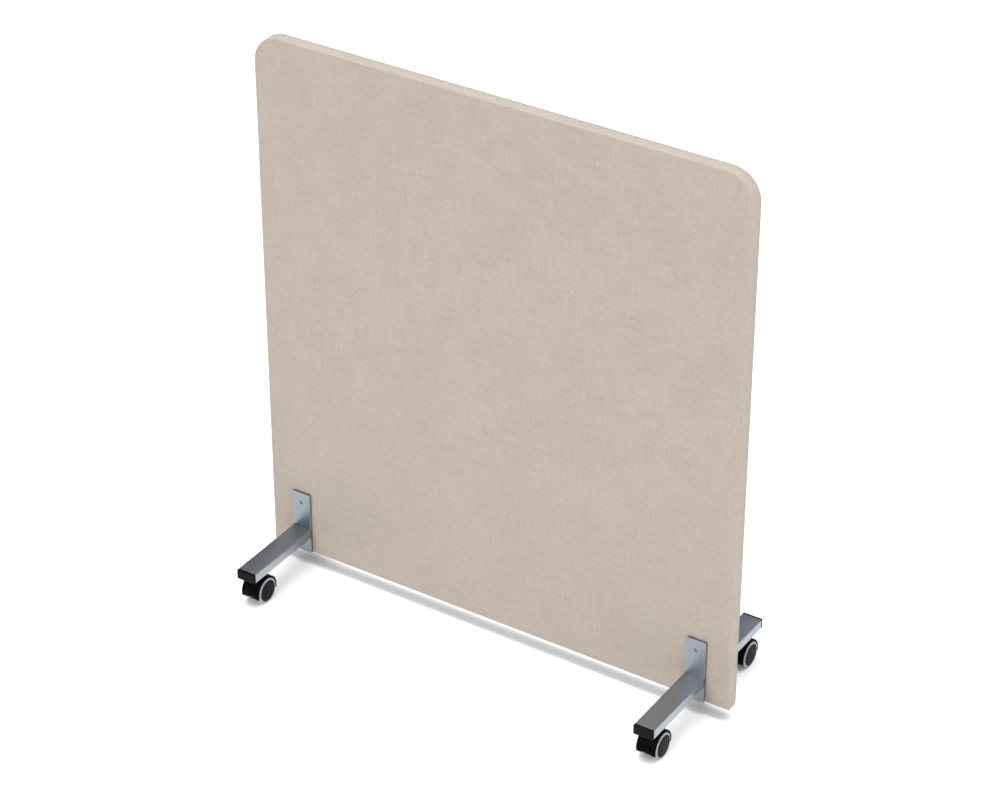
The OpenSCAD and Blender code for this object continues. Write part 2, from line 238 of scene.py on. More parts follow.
def wood_material(name, dark, light, along):
    """Planed wood, its grain drawn out along one axis."""
    n = Nodes(name)
    scale = tuple(6.0 if axis == along else 140.0 for axis in range(3))
    grain = n.noise(n.place("Object", scale), detail=6.0, rough=0.6)
    return n.finish(n.mix(n.span(grain, 0.3, 0.7), dark, light), 0.65,
                    n.bump(grain, 0.1 * MM, 0.4))


def fibre_material(name, dark, light, scale):
    """Matted fibres, for the board and the wadding."""
    n = Nodes(name)
    fibre = n.noise(n.place("Object", (scale, scale, scale)), detail=6.0, rough=0.7)
    return n.finish(n.mix(n.span(fibre, 0.3, 0.7), dark, light), 0.9,
                    n.bump(fibre, 0.3 * MM, 0.6))


def tape_material():
    """Black hook-and-loop tape with fine ribs across it."""
    n = Nodes("black_tape")
    fuzz = n.noise(n.place("Object", (900.0, 900.0, 900.0)), detail=3.0)
    ribs = n.noise(n.place("Object", (700.0, 30.0, 30.0)), detail=1.0)
    return n.finish(n.mix(n.span(fuzz, 0.3, 0.7), (0.012, 0.012, 0.012), (0.05, 0.05, 0.05)),
                    0.95, n.bump(ribs, 0.3 * MM, 0.6))


FABRIC = fabric_material()
TUBE_SILVER = silver_material("satin_silver_tube", 1, 1.14)
PLATE_SILVER = silver_material("satin_silver_plate", 2, 0.90)
ZINC = zinc_material()
SCREW = zinc_material("screw_zinc", (0.16, 0.17, 0.19), (0.24, 0.25, 0.275))
# the weld bead is coloured near-black as painted shade, for the shade in the crease where the
# tube meets the plate
WELD_PAINTED_SHADE = zinc_material("weld_bead_painted_shade", (0.07, 0.075, 0.085), (0.13, 0.135, 0.15))
# near-black floor for the screws' hexagon sockets: painted shade for the recess, not the steel's
# own colour
SOCKET_PAINTED_SHADE = plastic_material("socket_painted_shade", (0.01, 0.01, 0.011), 0.6, 0.8)
CAP_BLACK = plastic_material("cap_black", (0.0034, 0.0034, 0.0042), 0.42, 0.55)
HOOD_BLACK = plastic_material("hood_black", (0.0010, 0.0010, 0.0013), 0.35, 0.5, 0.025)
WHEEL_BLACK = plastic_material("wheel_black", (0.0042, 0.0045, 0.0056), 0.38, 0.5, 0.045)
TREAD = tread_material()
TAPE = tape_material()


# ---------- mesh helpers ----------

def new_piece(name, points, faces, material, body, replaces=(), sharp=40.0, uvs=None):
    """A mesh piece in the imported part's frame, riding on a body. It is shaded smooth, but for
    edges over the sharp angle in degrees."""
    mesh = bpy.data.meshes.new(name)
    mesh.from_pydata([tuple(p) for p in points], [], faces)
    if uvs is not None:
        layer = mesh.uv_layers.new(name="cloth")
        for loop in mesh.loops:
            layer.data[loop.index].uv = uvs[loop.vertex_index]
    bm = bmesh.new()
    bm.from_mesh(mesh)
    bmesh.ops.remove_doubles(bm, verts=bm.verts, dist=1e-6)
    bmesh.ops.recalc_face_normals(bm, faces=bm.faces)
    for edge in bm.edges:
        edge.smooth = edge.is_boundary or edge.calc_face_angle(0.0) < math.radians(sharp)
    for face in bm.faces:
        face.smooth = True
    bm.to_mesh(mesh)
    bm.free()
    mesh.materials.append(material)
    piece = bpy.data.objects.new(name, mesh)
    bpy.context.scene.collection.objects.link(piece)
    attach(piece, body)
    if replaces:
        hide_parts(*replaces)
    return piece


class Shape:
    """Points and faces gathered from several closed shells, before they become one piece."""

    def __init__(self):
        self.points = []
        self.faces = []

    def add(self, points, faces):
        base = len(self.points)
        self.points += [tuple(p) for p in points]
        self.faces += [tuple(base + i for i in face) for face in faces]

    def loft(self, rings, cap_start=True, cap_end=True, closed=False):
        """Quads between rings of equally many points, with flat caps or joined end to end."""
        count = len(rings[0])
        points = [p for ring in rings for p in ring]
        faces = []
        steps = len(rings) if closed else len(rings) - 1
        for r in range(steps):
            a, b = r * count, (r + 1) % len(rings) * count
            for i in range(count):
                j = (i + 1) % count
                faces.append((a + i, a + j, b + j, b + i))
        if cap_start and not closed:
            faces.append(tuple(reversed(range(count))))
        if cap_end and not closed:
            last = (len(rings) - 1) * count
            faces.append(tuple(last + i for i in range(count)))
        self.add(points, faces)

    def lathe(self, profile, centre, along, segments=96):
        """A profile of (distance along, radius), turned about an axis through centre."""
        along = Vector(along).normalized()
        side = along.orthogonal().normalized()
        other = along.cross(side)
        rings = []
        for step in range(segments):
            t = 2 * math.pi * step / segments
            out = side * math.cos(t) + other * math.sin(t)
            rings.append([Vector(centre) + along * a + out * r for a, r in profile])
        count = len(profile)
        points = [p for ring in rings for p in ring]
        faces = []
        for s in range(segments):
            a, b = s * count, (s + 1) % segments * count
            for i in range(count - 1):
                faces.append((a + i, a + i + 1, b + i + 1, b + i))
        self.add(points, faces)


def arc(cx, cy, radius, start, end, steps):
    """Points of an arc, in degrees."""
    angles = np.radians(np.linspace(start, end, steps + 1))
    return [(cx + radius * math.cos(t), cy + radius * math.sin(t)) for t in angles]


def rounded_outline(width, height, radius, steps=6):
    """A rectangle with round corners about the origin, anticlockwise."""
    points = []
    for sx, sy, start in ((1, 1, 0), (-1, 1, 90), (-1, -1, 180), (1, -1, 270)):
        points += arc(sx * (width / 2 - radius), sy * (height / 2 - radius),
                      radius, start, start + 90, steps)
    return points


def middle(node):
    """Middle of a CAD node's box."""
    low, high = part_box(node)
    return (low + high) / 2


def side_of(corner):
    """-1 for the front feet and +1 for the rear ones, along Y."""
    return -1 if corner.startswith("front") else 1


def y_reach(low, high, side):
    """The nearest and farthest Y of a box on one side of the panel."""
    ends = sorted((abs(low.y), abs(high.y)))
    return side * ends[0], side * ends[1]


# ---------- camera and light ----------

CEILING_STRENGTH = 3.2   # the dome's light from straight above
CEILING_POWER = 6.0      # how fast it falls off towards the walls
WALL_STRENGTH = 0.12     # the dome's light from the walls
MIRRORED_MOST = 1.6      # the most of the dome that metal and gloss show
SEEN_STRENGTH = 0.86     # what the camera sees past the floor
PANEL_LOW, PANEL_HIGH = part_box("cover_front")
PANEL_H = PANEL_HIGH.z - PANEL_LOW.z
PANEL_W = PANEL_HIGH.x - PANEL_LOW.x


def make_camera():
    """Camera in front, to the right and above, found from the wall's own proportions."""
    azimuth, elevation, roll = (math.radians(a) for a in (32.704, 32.128, 0.097))
    back = Vector((math.sin(azimuth) * math.cos(elevation),
                   -math.cos(azimuth) * math.cos(elevation), math.sin(elevation)))
    level = (-back).cross(Vector((0, 0, 1))).normalized()
    rise = level.cross(-back)
    right = level * math.cos(roll) + rise * math.sin(roll)
    up = rise * math.cos(roll) - level * math.sin(roll)
    target = Vector((0, 0, PANEL_LOW.z + PANEL_H / 2))
    # the three distances are in panel heights
    place = target + (back * 5.1114 + right * 0.0049 - up * 0.0461) * PANEL_H
    data = bpy.data.cameras.new("camera")
    data.sensor_width = 36.0
    data.lens = 111.72
    data.clip_end = 60.0
    camera = bpy.data.objects.new("camera", data)
    bpy.context.scene.collection.objects.link(camera)
    turn = Matrix((right, up, back)).transposed().to_4x4()
    camera.matrix_world = Matrix.Translation(place) @ turn
    bpy.context.scene.camera = camera
    view = bpy.context.scene.view_settings
    view.view_transform = "Standard"
    view.look = "None"


def area_light(name, place, target, size, watts):
    """A soft rectangular lamp, which the camera doesn't see."""
    data = bpy.data.lights.new(name, "AREA")
    data.shape = "RECTANGLE"
    data.size, data.size_y = size
    data.energy = watts
    light = bpy.data.objects.new(name, data)
    bpy.context.scene.collection.objects.link(light)
    light.location = place
    light.rotation_euler = (Vector(target) - Vector(place)).to_track_quat("-Z", "Y").to_euler()
    light.visible_camera = False
    return light


def make_floor():
    """A plain pale floor."""
    half = 30.0
    floor = bpy.data.meshes.new("floor")
    floor.from_pydata([(-half, -half, 0), (half, -half, 0), (half, half, 0), (-half, half, 0)],
                      [], [(0, 1, 2, 3)])
    n = Nodes("pale_floor")
    mottle = n.noise(n.place("Object", (0.8, 0.8, 0.8)), detail=2.0)
    colour = n.mix(n.span(mottle, 0.3, 0.7), (0.86, 0.86, 0.86), (0.88, 0.88, 0.88))
    floor.materials.append(n.finish(colour, 0.9, Specular_IOR_Level=0.0))
    piece = bpy.data.objects.new("floor", floor)
    bpy.context.scene.collection.objects.link(piece)


def make_world():
    """A soft dome: dim walls, brighter towards the middle of the ceiling."""
    world = bpy.data.worlds.new("studio")
    world.use_nodes = True
    tree = world.node_tree
    rays = tree.nodes.new("ShaderNodeLightPath")

    def maths(operation, source, value):
        node = tree.nodes.new("ShaderNodeMath")
        node.operation = operation
        feed(tree, source, node.inputs[0])
        feed(tree, value, node.inputs[1])
        return node.outputs[0]

    def but_for(kind, strength, other):
        """The strength, with another one in its place for one kind of ray."""
        node = tree.nodes.new("ShaderNodeMix")
        feed(tree, rays.outputs[kind], node.inputs["Factor"])
        feed(tree, strength, node.inputs["A"])
        feed(tree, other, node.inputs["B"])
        return node.outputs["Result"]

    coord = tree.nodes.new("ShaderNodeTexCoord")
    axes = tree.nodes.new("ShaderNodeSeparateXYZ")
    feed(tree, coord.outputs["Generated"], axes.inputs[0])
    upward = maths("POWER", maths("MAXIMUM", axes.outputs["Z"], 0.0), CEILING_POWER)
    dome = maths("ADD", maths("MULTIPLY", upward, CEILING_STRENGTH), WALL_STRENGTH)
    # metal mirrors no more than a pale ceiling, and the camera sees pale walls
    strength = but_for("Is Glossy Ray", dome, maths("MINIMUM", dome, MIRRORED_MOST))
    strength = but_for("Is Camera Ray", strength, SEEN_STRENGTH)
    sky = tree.nodes["Background"]
    feed(tree, (0.98, 0.99, 1.0), sky.inputs["Color"])
    feed(tree, strength, sky.inputs["Strength"])
    bpy.context.scene.world = world


def make_lights():
    """A long thin strip high over the wall and broad lights in front, beside and behind."""
    strip = area_light("overhead", (0.0, -0.02, 10.0), (0.0, -0.02, 0.0), (16.8, 0.06), 840)
    strip.rotation_euler = (0.0, 0.0, 0.0)      # straight down, its length along the wall
    strip.visible_glossy = False
    area_light("front", (-1.0, -12.0, 5.0), (0, 0, 0.8), (7.0, 5.0), 1050)
    area_light("side", (8.0, -0.5, 2.5), (0.7, 0, 0.8), (4.0, 4.0), 230)
    area_light("rear", (1.5, 12.0, 2.2), (0, 0, 0.8), (7.0, 3.0), 420)


# ---------- woven cover ----------

CORNER_R = 82.0 * MM     # the panel's round upper corners
EDGE_R = 4.0 * MM        # softness of the front tray's edges
BACK_EDGE_R = 3.0 * MM   # and of the rear tray's
CLOTH = 1.0 * MM         # thickness
OUTSET = 0.35 * MM       # how far the cloth stands outside the CAD side walls
PROUD = 0.5 * MM         # how far the cloth stands in front of the boards
GRID_PITCH = 12.0 * MM   # spacing of the cloth's grid away from the plates
SEAM_LAP = 3.5 * MM      # cloth turned in at the seam
EDGE_FADE = 40.0 * MM    # how far from the edges the face lies flatter
WANDER = 0.22 * MM       # soft unevenness of the stretched face
PUCKER = 0.14 * MM       # unevenness of the stretched wall
PLEAT = 0.5 * MM         # small gathers where the cloth goes round an upper corner


def grid_lines(low, high, pitch, fine_at, fine_reach=18 * MM, fine_pitch=3 * MM):
    """Positions from low to high, closer together around the given places."""
    digits = 6
    ends = (round(low, digits), round(high, digits))
    count = int(round((high - low) / pitch)) + 1
    lines = set(np.round(np.linspace(low, high, count), digits))
    for place in fine_at:
        near = np.arange(place - fine_reach, place + fine_reach + 1e-9, fine_pitch)
        near = near[(near > low + 0.1 * MM) & (near < high - 0.1 * MM)]
        if near.size:
            start, stop = near[0] - 2 * MM, near[-1] + 2 * MM
            lines = {x for x in lines if not start < x < stop or x in ends}
            lines |= set(np.round(near, digits))
    return np.array(sorted(lines))


def waves(u, v, seed, count, low, high):
    """A smooth, repeatable wander between -1 and 1, from a few crossing waves."""
    rng = np.random.default_rng(seed)
    total = np.zeros_like(u)
    for _ in range(count):
        heading = rng.uniform(0, 2 * math.pi)
        rate = 2 * math.pi / rng.uniform(low, high)
        total += np.sin((u * math.cos(heading) + v * math.sin(heading)) * rate
                        + rng.uniform(0, 2 * math.pi))
    return total / count


def plate_boxes(side):
    """Boxes of the mounting plates on one side of the panel."""
    names = [c + "_plate" for c in CORNERS if c.startswith("front" if side < 0 else "rear")]
    return [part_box(name) for name in names]


def outside_distance(x, z, low, high):
    """How far a point lies outside a plate's outline, 0 inside it."""
    dx = np.maximum(np.maximum(low.x - x, x - high.x), 0)
    dz = np.maximum(np.maximum(low.z - z, z - high.z), 0)
    return np.hypot(dx, dz)


def face_depth(x, z, side):
    """How far the cloth stands proud of the board's face: soft wander, less by the plates."""
    depth = PROUD + WANDER * waves(x, z, 11 if side < 0 else 12, 7, 0.16, 0.5)
    for low, high in plate_boxes(side):
        away = outside_distance(x, z, low, high)
        # pressed down at the plate, and a little swollen one finger away from it
        depth = depth * (1 - np.exp(-(away / (9 * MM)) ** 2))
        depth = depth + 0.5 * MM * np.exp(-((away - 14 * MM) / (8 * MM)) ** 2) * (away > 0)
        depth = np.where(away <= 0, -0.05 * MM, depth)
    return depth


def cover_grid(side, edge_r):
    """X and Z of the face's grid, and how far each row's ends lean from level, in radians."""
    half = PANEL_W / 2 - edge_r
    low, high = PANEL_LOW.z + edge_r, PANEL_HIGH.z - edge_r
    radius = CORNER_R - edge_r
    arc_base = high - radius
    plates = plate_boxes(side)
    xs = grid_lines(-half, half, GRID_PITCH, [v for p in plates for v in (p[0].x, p[1].x)])
    zs = grid_lines(low, arc_base, GRID_PITCH, [p[1].z for p in plates])
    turn = np.radians(np.arange(2, 91, 2))
    lean = np.concatenate([np.zeros(len(zs)), turn])
    zs = np.concatenate([zs, arc_base + radius * np.sin(turn)])
    widths = half - radius * (1 - np.cos(lean))
    x = xs[None, :] * (widths / half)[:, None]
    z = np.repeat(zs[:, None], len(xs), axis=1)
    return x, z, lean


def cover_border(lean, columns):
    """The grid's outer points as (index, outward X, outward Z), anticlockwise from the lower
    left, with a fan of directions at each square lower corner."""
    rows = len(lean)
    border = []

    def fan(index, start, end):
        for t in np.radians(np.linspace(start, end, 5)):
            border.append((index, math.cos(t), math.sin(t)))

    fan(0, 180, 270)
    border += [(c, 0.0, -1.0) for c in range(1, columns - 1)]
    fan(columns - 1, 270, 360)
    border += [(r * columns + columns - 1, math.cos(lean[r]), math.sin(lean[r]))
               for r in range(1, rows)]
    border += [((rows - 1) * columns + c, 0.0, 1.0) for c in range(columns - 2, 0, -1)]
    border += [(r * columns, -math.cos(lean[r]), math.sin(lean[r]))
               for r in range(rows - 1, 0, -1)]
    return border


def edge_steps(wall, edge_r):
    """The cloth's way round the edge, along the wall and into the seam, as (outward, back from
    the face, cloth length so far)."""
    reach = edge_r + OUTSET
    steps = [(reach * math.sin(t), edge_r * (1 - math.cos(t)), edge_r * t)
             for t in np.radians(np.arange(15, 91, 15))]
    for share in (0.25, 0.5, 0.75, 0.93):
        back = edge_r + (wall - edge_r) * share
        steps.append((reach, back, edge_r * (math.pi / 2 - 1) + back))
    end = steps[-1][2]
    steps += [(reach - 0.25 * MM, wall - 0.35 * MM, end + 1.2 * MM),
              (reach - 0.9 * MM, wall - 0.05 * MM, end + 2.0 * MM),
              (reach - 2.4 * MM, wall - 0.05 * MM, end + SEAM_LAP)]
    return steps


def edge_waves(base, nx, nz, seed):
    """How far the wall's cloth puckers all round and pleats at the upper corners."""
    along = np.concatenate([[0], np.cumsum(np.hypot(*np.diff(base[:, [0, 2]], axis=0).T))])
    corner = np.clip(np.abs(nx * nz) * 2.2, 0, 1) * (nz > 0)
    rng = np.random.default_rng(seed)
    pucker = sum(np.sin(2 * math.pi * along / rng.uniform(0.017, 0.05) + rng.uniform(0, 6.3))
                 for _ in range(5)) / 5
    pleat = sum(np.sin(2 * math.pi * along / length + rng.uniform(0, 6.3)) * share
                for length, share in ((12.5 * MM, 0.6), (21.0 * MM, 0.4)))
    return PUCKER * pucker + PLEAT * pleat * corner


def build_cover(name, node, side, face_y, seam_y, edge_r):
    """One tray of cloth: a face, a soft edge all round and a wall that turns in at the seam."""
    x, z, lean = cover_grid(side, edge_r)
    rows, columns = x.shape
    edge_fade = np.minimum(np.minimum(x.max() - np.abs(x), z.max() - z), z - z.min())
    edge_fade = np.clip(edge_fade / EDGE_FADE, 0, 1)
    depth = face_depth(x, z, side) * edge_fade + PROUD * 0.3 * (1 - edge_fade)
    face = np.stack([x, face_y + side * depth, z], -1).reshape(-1, 3)
    points = [tuple(p) for p in face]
    uv = [(p[0], p[2]) for p in face]
    faces = [(r * columns + c, r * columns + c + 1, (r + 1) * columns + c + 1,
              (r + 1) * columns + c) for r in range(rows - 1) for c in range(columns - 1)]

    border = cover_border(lean, columns)
    base = np.array([face[i] for i, _, _ in border])
    nx = np.array([b[1] for b in border])
    nz = np.array([b[2] for b in border])
    wall = abs(seam_y - face_y)
    wave = edge_waves(base, nx, nz, 5 if side < 0 else 6)
    rings = [[i for i, _, _ in border]]
    for out, back, cloth in edge_steps(wall, edge_r):
        share = min(back / wall, 1.0)
        spread = out + wave * share
        ring = np.stack([base[:, 0] + nx * spread,
                         base[:, 1] + (face_y - base[:, 1]) * share - side * back,
                         base[:, 2] + nz * spread], 1)
        rings.append(list(range(len(points), len(points) + len(border))))
        points += [tuple(p) for p in ring]
        uv += [(p[0] + a * cloth, p[2] + b * cloth) for p, a, b in zip(base, nx, nz)]
    for inner, outer in zip(rings, rings[1:]):
        for k in range(len(border)):
            m = (k + 1) % len(border)
            corners = tuple(dict.fromkeys((inner[k], inner[m], outer[m], outer[k])))
            if len(corners) > 2:
                faces.append(corners)
    if side > 0:
        uv = [(3.0 - u, v) for u, v in uv]      # another part of the roll, seen from behind
    piece = new_piece(name, points, faces, FABRIC, "wall", [node], 60.0, uv)
    solid = piece.modifiers.new("cloth_thickness", "SOLIDIFY")
    solid.thickness = CLOTH
    solid.offset = -1.0


def build_closing_tape():
    """The tape that closes the cover below: a thin strip with rounded edges."""
    low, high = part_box("closing_strip")
    outline = rounded_outline(high.y - low.y, 1.2 * MM, 0.5 * MM, 4)
    centre_y = (low.y + high.y) / 2
    rings = []
    for x in np.linspace(low.x + 2 * MM, high.x - 2 * MM, 160):
        sway = 0.25 * MM * math.sin(x * 37.0) + 0.15 * MM * math.sin(x * 91.0 + 1.0)
        rings.append([(x, centre_y + a, low.z - 0.1 * MM + b + 0.4 * sway) for a, b in outline])
    shape = Shape()
    shape.loft(rings)
    new_piece("closing_tape", shape.points, shape.faces, TAPE, "wall",
              ["closing_strip"])


# ---------- feet ----------

PLATE_CORNER = 2.5 * MM
PLATE_SOFT = 0.9 * MM    # softness of the plate's outer edges
TUBE_CORNER = 3.0 * MM
WELD_LEG = 1.3 * MM
WELD_RIPPLE = 2.1 * MM   # length of one ripple
CAP_PLUG = 10.0 * MM     # how far the cap's plug reaches into the tube
CAP_WALL = 2.6 * MM      # the plug's inset, a little more than the tube's wall
CAP_SOFT = 1.8 * MM
SCREW_R = 7.0 * MM
HEX_ACROSS = 6.0 * MM    # the screws' hexagon sockets


def build_plate(corner):
    """Flat steel with soft edges and two holes for the sunk heads."""
    low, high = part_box(corner + "_plate")
    side = side_of(corner)
    back, face = y_reach(low, high, side)
    centre = (low + high) / 2

    def ring(inset, y):
        outline = rounded_outline(high.x - low.x - 2 * inset, high.z - low.z - 2 * inset,
                                  max(PLATE_CORNER - inset, 0.4 * MM))
        return [(centre.x + a, y, centre.z + b) for a, b in outline]

    rings = [ring(0.5 * MM, back), ring(0, back + side * 0.5 * MM)]
    for t in np.radians((0, 22.5, 45, 67.5, 90)):
        rings.append(ring(PLATE_SOFT * (1 - math.cos(t)),
                          face - side * PLATE_SOFT * (1 - math.sin(t))))
    rings.append(ring(PLATE_SOFT + 1.5 * MM, face))     # keeps the edge's shading out of the face
    shape = Shape()
    shape.loft(rings, cap_start=True, cap_end=False)
    # the face, cut by the two holes, and the holes' walls
    bm = bmesh.new()
    outer = [bm.verts.new(p) for p in rings[-1]]
    edges = [bm.edges.new((outer[i], outer[(i + 1) % len(outer)])) for i in range(len(outer))]
    radius = SCREW_R + 0.15 * MM
    for hole_z in screw_heights():
        loop = [bm.verts.new((centre.x + a, face, hole_z + b))
                for a, b in arc(0, 0, radius, 0, 352.5, 47)]
        edges += [bm.edges.new((loop[i], loop[(i + 1) % len(loop)])) for i in range(len(loop))]
        deep = [(centre.x + a * 0.9, face - side * 1.5 * MM, hole_z + b * 0.9)
                for a, b in arc(0, 0, radius, 0, 352.5, 47)]
        shape.loft([[tuple(v.co) for v in loop], deep], cap_start=False)
    bmesh.ops.triangle_fill(bm, use_beauty=True, use_dissolve=False, edges=edges)
    bm.verts.index_update()
    shape.add([tuple(v.co) for v in bm.verts], [[v.index for v in f.verts] for f in bm.faces])
    bm.free()
    new_piece(corner + "_mounting_plate", shape.points, shape.faces, PLATE_SILVER, "wall",
              [corner + "_plate"], 30.0)


def screw_heights():
    """Heights of the lower and upper screw, from the bolts' own box."""
    low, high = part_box("foot_bolts")
    return low.z + SCREW_R, high.z - SCREW_R


def build_tube(corner):
    """Rectangular tube with its real corner radii, from the plate to the cap."""
    low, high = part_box(corner + "_tube")
    centre = (low + high) / 2
    outline = rounded_outline(high.x - low.x, high.z - low.z, TUBE_CORNER, 8)
    shape = Shape()
    shape.loft([[(centre.x + a, y, centre.z + b) for a, b in outline]
                for y in np.linspace(low.y, high.y, 9)])
    new_piece(corner + "_arm_tube", shape.points, shape.faces, TUBE_SILVER, "wall",
              [corner + "_tube"], 40.0)


def build_weld(corner):
    """Fillet weld round the tube where it meets the plate, with its small ripples. Its near-black
    colour is painted shade for the crease at the joint.
    """
    low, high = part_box(corner + "_tube")
    side = side_of(corner)
    centre = (low + high) / 2
    root = y_reach(low, high, side)[0]
    path = []
    outline = rounded_outline(high.x - low.x, high.z - low.z, TUBE_CORNER, 6)
    for (ax, az), (bx, bz) in zip(outline, outline[1:] + outline[:1]):
        steps = max(1, int(math.hypot(bx - ax, bz - az) / (0.8 * MM)))
        for k in range(steps):
            path.append((ax + (bx - ax) * k / steps, az + (bz - az) * k / steps))
    path = np.array(path)
    tangent = np.roll(path, -1, 0) - np.roll(path, 1, 0)
    tangent /= np.linalg.norm(tangent, axis=1)[:, None]
    normal = np.stack([tangent[:, 1], -tangent[:, 0]], 1)
    run = np.concatenate([[0], np.cumsum(np.linalg.norm(np.diff(path, axis=0), axis=1))])
    leg = WELD_LEG * (1.0 + 0.09 * np.sin(2 * math.pi * run / WELD_RIPPLE))
    rings = []
    for share_out, share_up in ((-0.3, -0.1), (1.0, -0.1), (1.0, 0.0), (0.62, 0.2),
                                (0.36, 0.36), (0.2, 0.62), (0.0, 1.0), (-0.3, 1.0)):
        out, rise = leg * share_out, leg * share_up
        rings.append([(centre.x + p[0] + n[0] * o, root + side * r, centre.z + p[1] + n[1] * o)
                      for p, n, o, r in zip(path, normal, out, rise)])
    shape = Shape()
    shape.loft(rings, closed=True)
    new_piece(corner + "_weld", shape.points, shape.faces, WELD_PAINTED_SHADE, "wall", (), 70.0)


def build_end_cap(corner):
    """Moulded cap with soft edges and a shallow step against the tube."""
    tube_low, tube_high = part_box(corner + "_tube")
    low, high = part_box(corner + "_end_cap")
    side = side_of(corner)
    start = y_reach(tube_low, tube_high, side)[1]
    length = abs(y_reach(low, high, side)[1] - start)
    centre = (tube_low + tube_high) / 2
    width, height = high.x - low.x, tube_high.z - tube_low.z
    # (distance out of the tube, inset from the tube's outline)
    sections = [(-CAP_PLUG, CAP_WALL), (0.0, CAP_WALL), (0.0, 0.35 * MM), (0.35 * MM, 0.0)]
    sections += [(length - CAP_SOFT * (1 - math.sin(t)) - 0.3 * MM, CAP_SOFT * (1 - math.cos(t)))
                 for t in np.radians((0, 15, 30, 45, 60, 75, 90))]
    sections += [(length, CAP_SOFT + 3.0 * MM)]
    rings = []
    for out, inset in sections:
        outline = rounded_outline(width - 2 * inset, height - 2 * inset,
                                  max(TUBE_CORNER - inset * 0.8, 1.2 * MM), 8)
        rings.append([(centre.x + a, start + side * out, centre.z + b) for a, b in outline])
    shape = Shape()
    shape.loft(rings)
    new_piece(corner + "_cap", shape.points, shape.faces, CAP_BLACK, "wall",
              [corner + "_end_cap"], 35.0)


def build_screw_heads(node, name, side):
    """Flat heads with a chamfered rim and a hexagon socket, one at each place. A near-black piece
    in each socket's bottom is painted shade for the recess.
    """
    low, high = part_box(node)
    face = y_reach(low, high, side)[1]
    steps = 48

    def hexagon(across, y, x0, z0):
        points = []
        for k in range(steps):
            t = 2 * math.pi * k / steps
            sector = (t + math.pi / 6) % (math.pi / 3) - math.pi / 6
            r = across / 2 / math.cos(sector)
            points.append((x0 + r * math.cos(t), y, z0 + r * math.sin(t)))
        return points

    def circle(radius, y, x0, z0):
        return [(x0 + radius * math.cos(2 * math.pi * k / steps), y,
                 z0 + radius * math.sin(2 * math.pi * k / steps)) for k in range(steps)]

    head, dark = Shape(), Shape()
    for x0 in (low.x + SCREW_R, high.x - SCREW_R):
        for z0 in screw_heights():
            rings = [circle(4.5 * MM, face - side * 2.6 * MM, x0, z0),
                     circle(SCREW_R - 0.2 * MM, face - side * 0.5 * MM, x0, z0),
                     circle(SCREW_R, face - side * 0.15 * MM, x0, z0),
                     circle(SCREW_R - 0.35 * MM, face + side * 0.1 * MM, x0, z0),
                     circle(5.0 * MM, face + side * 0.15 * MM, x0, z0),
                     hexagon(HEX_ACROSS + 0.6 * MM, face + side * 0.15 * MM, x0, z0),
                     hexagon(HEX_ACROSS, face - side * 0.15 * MM, x0, z0),
                     hexagon(HEX_ACROSS, face - side * 2.4 * MM, x0, z0)]
            head.loft(rings)
            # painted shade: a near-black floor deep in each socket stands for the shade inside
            # the recess
            dark.loft([hexagon(HEX_ACROSS, face - side * 2.4 * MM, x0, z0),
                       hexagon(HEX_ACROSS, face - side * 1.6 * MM, x0, z0),
                       hexagon(2.0 * MM, face - side * 1.9 * MM, x0, z0)])
    new_piece(name, head.points, head.faces, SCREW, "wall", [node], 30.0)
    new_piece(name + "_socket_shade", dark.points, dark.faces, SOCKET_PAINTED_SHADE, "wall",
              (), 30.0)


# ---------- casters ----------

HOOD_IN = 40.0 * MM      # the shell's inner radius about the axle
HOOD_OUT = 44.5 * MM
HOOD_DROP = 10.0 * MM    # how far below the axle the shell ends
HOOD_EDGE = 2.0 * MM     # rounding of the shell's outer edges
HOOD_LIP = 0.9 * MM      # rounding of its two ends
ARCH_RISE = 5.0 * MM     # the low arch in the closed side's lower edge
ARCH_HALF = 22.0 * MM
WEB_HALF = 5.5 * MM      # the web between the wheels
WEB_SOFT = 0.6 * MM
WEB_BOSS = 11.0 * MM     # the web's round foot below the axle
SOCKET_R = 8.0 * MM      # the stem's socket
SOCKET_LOW = 31.0 * MM
SOCKET_TOP = 76.0 * MM
DISC_STEP = 1.1 * MM     # how far the disc's rim stands out of the tread's side
DISC_OVER = 0.8 * MM     # how far it covers the tread
CUP_WALL = 3.0 * MM      # wall of the wheel's cup
HUB_R = 9.0 * MM
BORE_R = 4.05 * MM
TREAD_SOFT = 2.0 * MM


def hood_profile(half):
    """Section of the hood's shell as (place along the axle, distance from it)."""
    r = HOOD_EDGE
    outer = arc(half - r, HOOD_OUT - r, r, 0, 90, 5)
    outer += [(x, HOOD_OUT) for x in np.linspace(half - r, -half + r, 9)[1:-1]]
    outer += arc(-half + r, HOOD_OUT - r, r, 90, 180, 5)
    inner = [(-half, HOOD_IN + 0.5 * MM), (-half + 0.5 * MM, HOOD_IN)]
    inner += [(x, HOOD_IN) for x in np.linspace(-half + 0.5 * MM, half - 0.5 * MM, 11)[1:-1]]
    inner += [(half - 0.5 * MM, HOOD_IN), (half, HOOD_IN + 0.5 * MM)]
    return outer + inner


